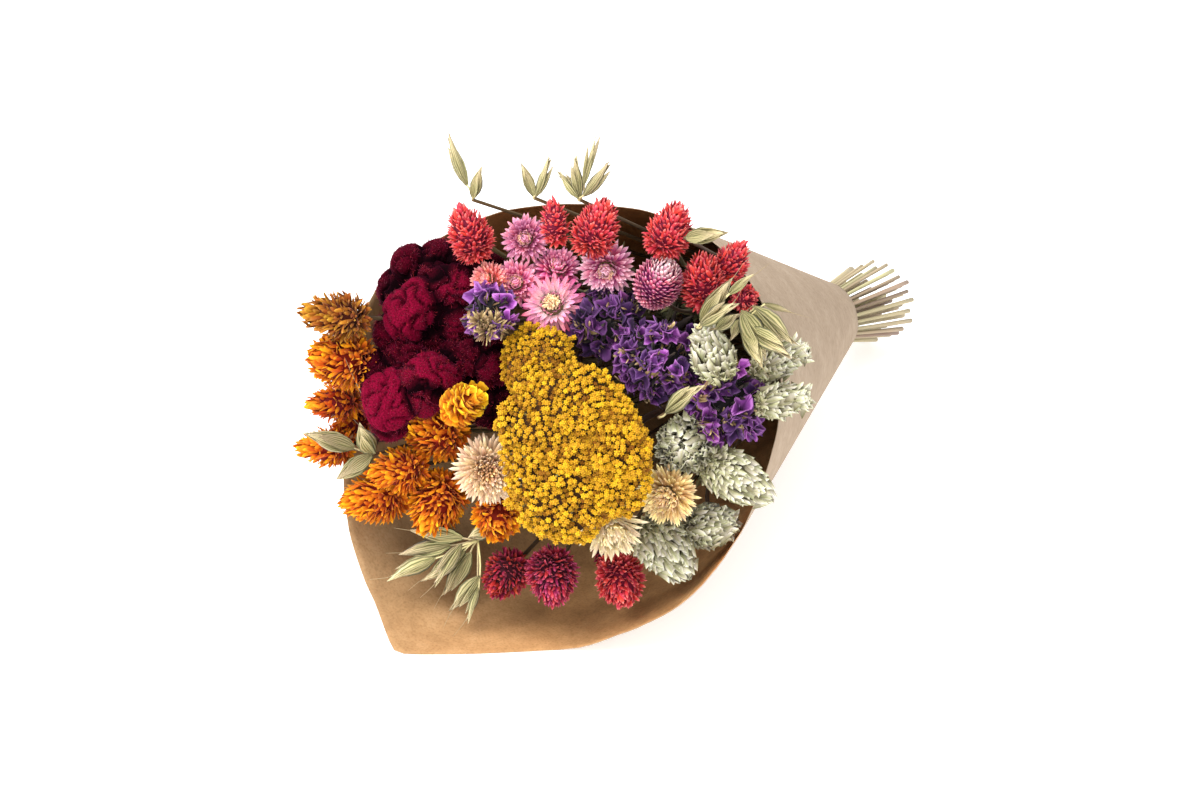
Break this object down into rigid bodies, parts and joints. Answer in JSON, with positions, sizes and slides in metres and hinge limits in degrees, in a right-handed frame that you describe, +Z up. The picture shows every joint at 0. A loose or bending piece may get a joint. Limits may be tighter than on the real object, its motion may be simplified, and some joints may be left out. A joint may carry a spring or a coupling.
{
  "type": "dried flower bouquet",
  "caption": "Bouquet of dried flowers and grasses, tied round the stems and rolled in a cone of kraft paper, lying on its side.",
  "frame": {"origin": "on the surface that the bouquet lies on, under the middle of its bounding box", "axes": "+Z up, +Y along the bouquet towards the cut stem ends, so the flowers face -Y; +X to the right, seen from the flowers' side"},
  "size_m": [0.2174, 0.4466, 0.2281],
  "materials": {
    "orange_phalaris": "dry, matt, papery scales dyed warm orange, browner at the base",
    "red_phalaris": "dry, matt, papery scales dyed coral red, paler at the tips",
    "magenta_phalaris": "dry, matt, papery scales dyed deep crimson, pinker at the tips",
    "natural_phalaris": "dry, matt, papery scales in natural sage and cream, green veined",
    "celosia": "dry velvety crest in burgundy, near black in the folds, with a pale fuzz on the ridges",
    "yarrow": "dry, matt, fine beads of golden mustard with brown gaps",
    "pink_strawflower": "papery petals, satin, mauve pink tips over a cream base",
    "gomphrena": "papery bracts, satin, orchid pink with pale tips",
    "cream_strawflower": "papery petals, satin, cream to peach with a tan centre",
    "statice": "thin crumpled papery calyces in violet on dry green branchlets",
    "oat": "dry husks and stalks, straw and sage, silky, striated",
    "kraft_paper": "matt unbleached kraft paper with a fine fibre mottle",
    "raffia": "dry twisted raffia, matt straw"
  },
  "bodies": {
    "root": {"celosia_1": "celosia", "celosia_2": "celosia", "celosia_3": "celosia", "cream_strawflower_1": "cream_strawflower", "cream_strawflower_2": "cream_strawflower", "cream_strawflower_3": "cream_strawflower", "gomphrena_1": "gomphrena", "magenta_phalaris_1": "magenta_phalaris", "magenta_phalaris_2": "magenta_phalaris", "magenta_phalaris_3": "magenta_phalaris", "magenta_phalaris_4": "magenta_phalaris", "natural_phalaris_1": "natural_phalaris", "natural_phalaris_2": "natural_phalaris", "natural_phalaris_3": "natural_phalaris", "natural_phalaris_4": "natural_phalaris", "natural_phalaris_5": "natural_phalaris", "natural_phalaris_6": "natural_phalaris", "natural_phalaris_7": "natural_phalaris", "natural_phalaris_8": "natural_phalaris", "oat_spray_1": "oat", "oat_spray_2": "oat", "oat_spray_3": "oat", "oat_spray_4": "oat", "oat_spray_5": "oat", "oat_spray_6": "oat", "oat_spray_7": "oat", "oat_spray_8": "oat", "oat_spray_9": "oat", "orange_phalaris_1": "orange_phalaris", "orange_phalaris_10": "orange_phalaris", "orange_phalaris_11": "orange_phalaris", "orange_phalaris_2": "orange_phalaris", "orange_phalaris_3": "orange_phalaris", "orange_phalaris_4": "orange_phalaris", "orange_phalaris_5": "orange_phalaris", "orange_phalaris_6": "orange_phalaris", "orange_phalaris_7": "orange_phalaris", "orange_phalaris_8": "orange_phalaris", "orange_phalaris_9": "orange_phalaris", "paper_wrap": "kraft_paper", "pink_strawflower_1": "pink_strawflower", "pink_strawflower_2": "pink_strawflower", "pink_strawflower_3": "pink_strawflower", "pink_strawflower_4": "pink_strawflower", "pink_strawflower_5": "pink_strawflower", "pink_strawflower_6": "pink_strawflower", "red_phalaris_1": "red_phalaris", "red_phalaris_2": "red_phalaris", "red_phalaris_3": "red_phalaris", "red_phalaris_4": "red_phalaris", "red_phalaris_5": "red_phalaris", "red_phalaris_6": "red_phalaris", "red_phalaris_7": "red_phalaris", "statice_1": "statice", "statice_2": "statice", "statice_3": "statice", "statice_4": "statice", "tie": "raffia", "yarrow_1": "yarrow", "yarrow_2": "yarrow"}
  },
  "joints": []
}
